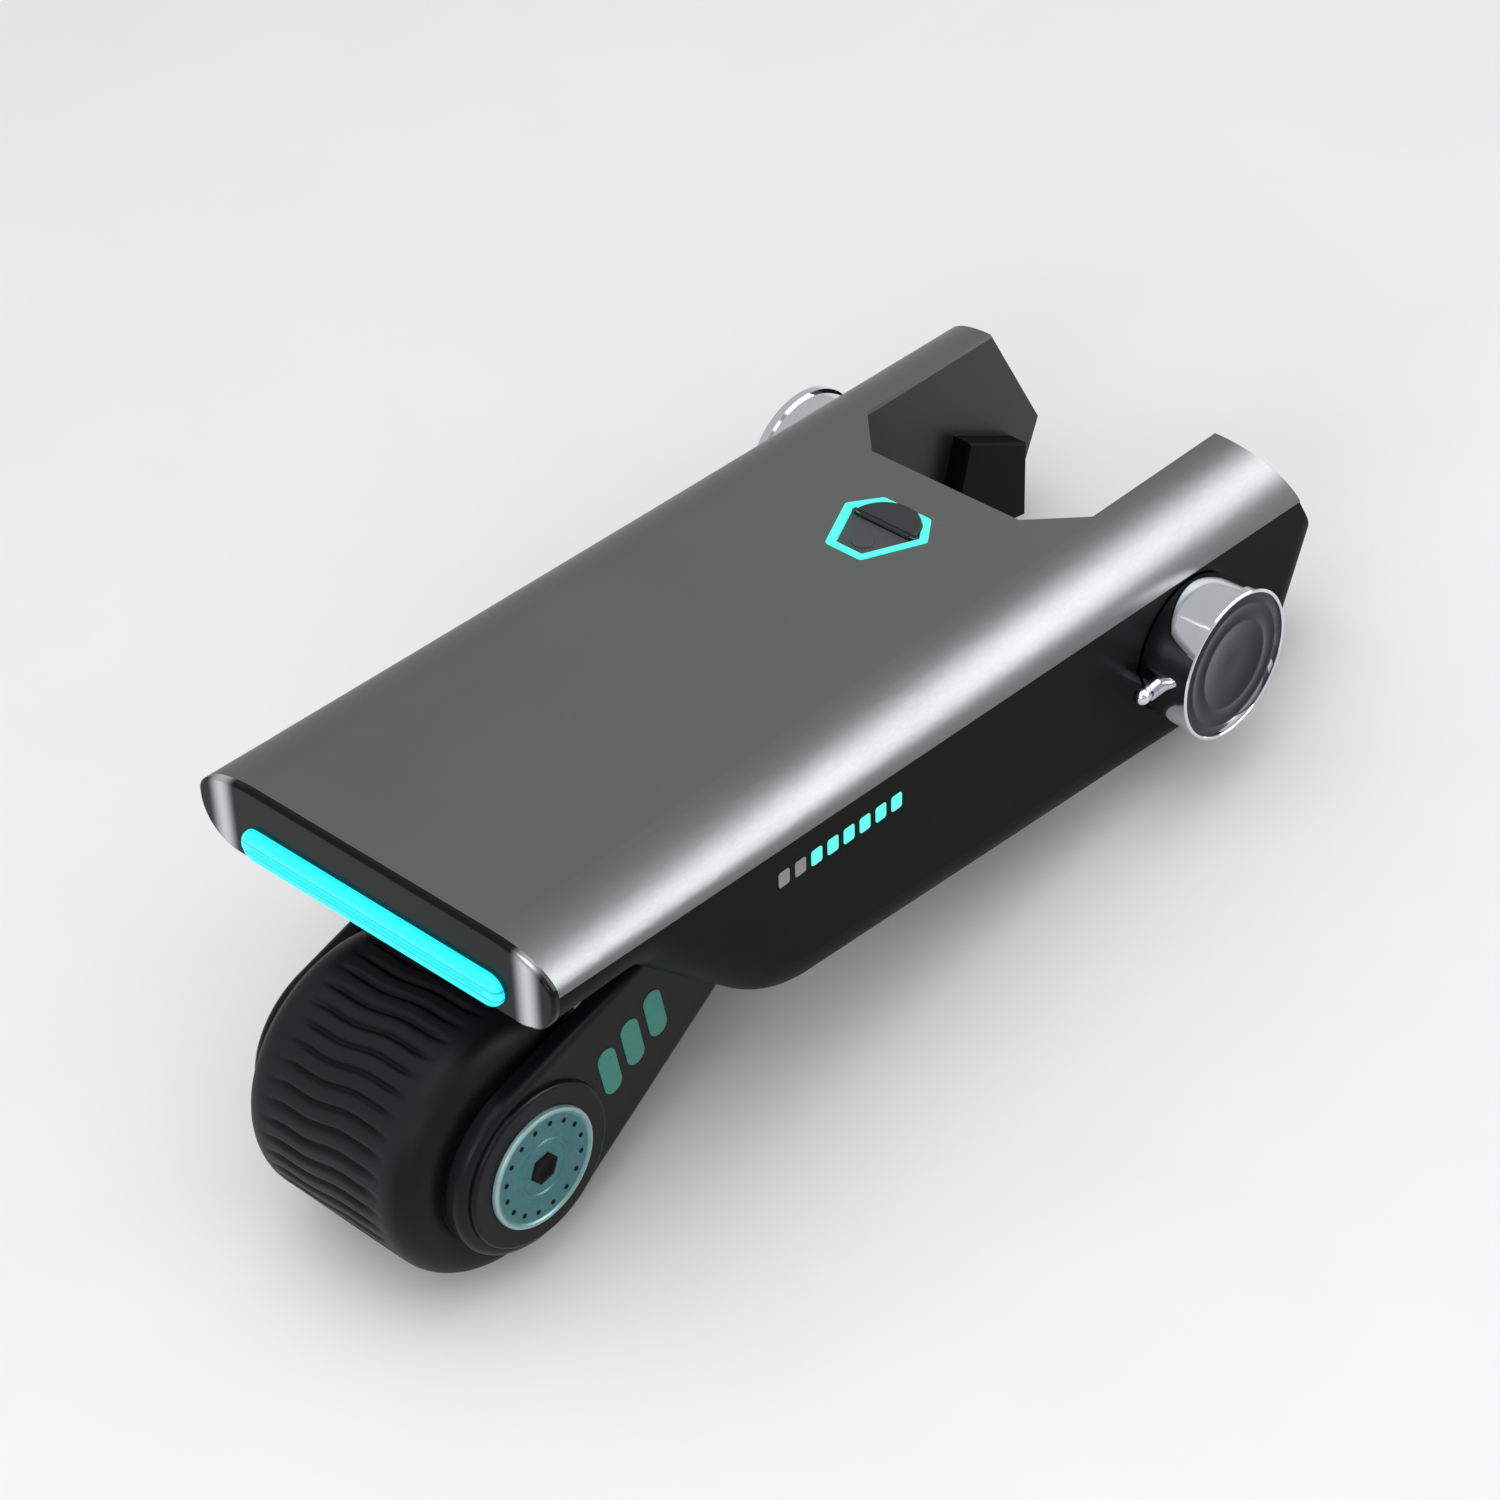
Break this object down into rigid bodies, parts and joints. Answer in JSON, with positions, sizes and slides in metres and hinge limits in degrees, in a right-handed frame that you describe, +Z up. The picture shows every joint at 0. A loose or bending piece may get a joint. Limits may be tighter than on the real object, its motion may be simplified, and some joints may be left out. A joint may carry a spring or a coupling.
{
  "type": "self-balancing board",
  "caption": "Fork-tailed self-balancing ride-on board with a wide motor wheel on a sprung swing arm, front light bar, glowing shield switch and tilting side lamps.",
  "frame": {"origin": "on the floor, under the middle of the bounding box, with the board resting on its wheel and tail skids", "axes": "+X across to the board's right as seen from the front, +Y from the front light bar towards the forked tail, +Z up from the floor"},
  "size_m": [0.304, 0.6397, 0.2355],
  "materials": {
    "satin_aluminium": "satin anodised",
    "black_moulding": "fine satin",
    "dark_grey_moulding": "satin",
    "gloss_black_cap": "polished",
    "cyan_light": "clear, lit",
    "aqua_light": "clear, lit",
    "unlit_lens": "frosted, unlit",
    "circuit_board": "solder mask",
    "panel_grey": "satin",
    "soft_rubber": "matt",
    "plain_steel": "zinc plated",
    "bright_chrome": "polished",
    "dark_glass": "tinted",
    "arm_black": "semi-gloss black coat",
    "teal_anodised": "satin anodised",
    "teal_ink": "satin",
    "laminated_steel": "varnished",
    "copper_wire": "enamelled",
    "magnet_nickel": "nickel plated",
    "cast_alloy": "as cast",
    "cell_sleeve": "sleeved",
    "wheel_rubber": "moulded"
  },
  "bodies": {
    "deck": {"balance_board": "circuit_board", "battery_board": "circuit_board", "battery_cells": "cell_sleeve", "battery_holder": "black_moulding", "battery_lead": "soft_rubber", "body_screws": "plain_steel", "bump_stops": "soft_rubber", "charge_inlet": "black_moulding", "controller_base": "cast_alloy", "controller_board": "circuit_board", "controller_capacitors": "cell_sleeve", "dock_blocks": "black_moulding", "front_cap": "gloss_black_cap", "gauge_bars_lit": "aqua_light", "gauge_bars_unlit": "unlit_lens", "gauge_boards": "circuit_board", "lamp_brackets": "bright_chrome", "lamp_pins": "bright_chrome", "light_bar_board": "circuit_board", "light_bar_lens": "cyan_light", "lower_tub": "black_moulding", "notch_liner": "dark_grey_moulding", "pivot_nuts": "plain_steel", "pivot_shaft": "plain_steel", "port_cover_pin": "plain_steel", "shield_board": "circuit_board", "shield_ring_lens": "aqua_light", "switch_panel": "panel_grey", "tail_caps": "black_moulding", "tail_skids": "soft_rubber", "top_shell": "satin_aluminium"},
    "swing_arm": {"right_arm": "arm_black", "left_arm": "arm_black", "pivot_tube": "arm_black", "torsion_bushes": "soft_rubber", "wheel_axle": "plain_steel", "axle_nuts": "plain_steel", "hub_caps": "teal_anodised", "arm_badges": "teal_ink", "motor_stator": "laminated_steel", "motor_windings": "copper_wire"},
    "wheel": {"tyre": "wheel_rubber", "rotor_drum": "laminated_steel", "rotor_magnets": "magnet_nickel", "motor_covers": "cast_alloy", "wheel_bearings": "plain_steel"},
    "power_button": {"power_button": "panel_grey"},
    "port_cover": {"port_cover": "soft_rubber"},
    "right_lamp": {"right_lamp_bezel": "bright_chrome", "right_lamp_glass": "dark_glass", "right_lamp_housing": "bright_chrome", "right_lamp_reflector": "bright_chrome", "right_lamp_source": "circuit_board"},
    "left_lamp": {"left_lamp_bezel": "bright_chrome", "left_lamp_glass": "dark_glass", "left_lamp_housing": "bright_chrome", "left_lamp_reflector": "bright_chrome", "left_lamp_source": "circuit_board"}
  },
  "joints": [
    {"name": "arm_suspension", "type": "hinge", "parent": "deck", "child": "swing_arm", "pos_m": [0, -0.07872, 0.12272], "axis": [-1, 0, 0], "range_deg": [0, 8], "stiffness_Nm_per_rad": 200, "springref_deg": -7.16},
    {"name": "wheel_spin", "type": "hinge", "parent": "swing_arm", "child": "wheel", "pos_m": [0, -0.24685, 0.073], "axis": [1, 0, 0], "continuous": true},
    {"name": "power_button_press", "type": "slide", "parent": "deck", "child": "power_button", "axis": [0, -0.1601, -0.9871], "range_m": [0, 0.0015], "stiffness_N_per_m": 800, "springref_m": -0.001},
    {"name": "port_cover_flip", "type": "hinge", "parent": "deck", "child": "port_cover", "pos_m": [0, 0.11484, 0.17621], "axis": [1, 0, 0], "range_deg": [0, 95]},
    {"name": "right_lamp_tilt", "type": "hinge", "parent": "deck", "child": "right_lamp", "pos_m": [0.132, 0.20239, 0.08826], "axis": [0, 0.9871, -0.1601], "range_deg": [-12, 12]},
    {"name": "left_lamp_tilt", "type": "hinge", "parent": "deck", "child": "left_lamp", "pos_m": [-0.132, 0.20239, 0.08826], "axis": [0, 0.9871, -0.1601], "range_deg": [-12, 12]}
  ]
}
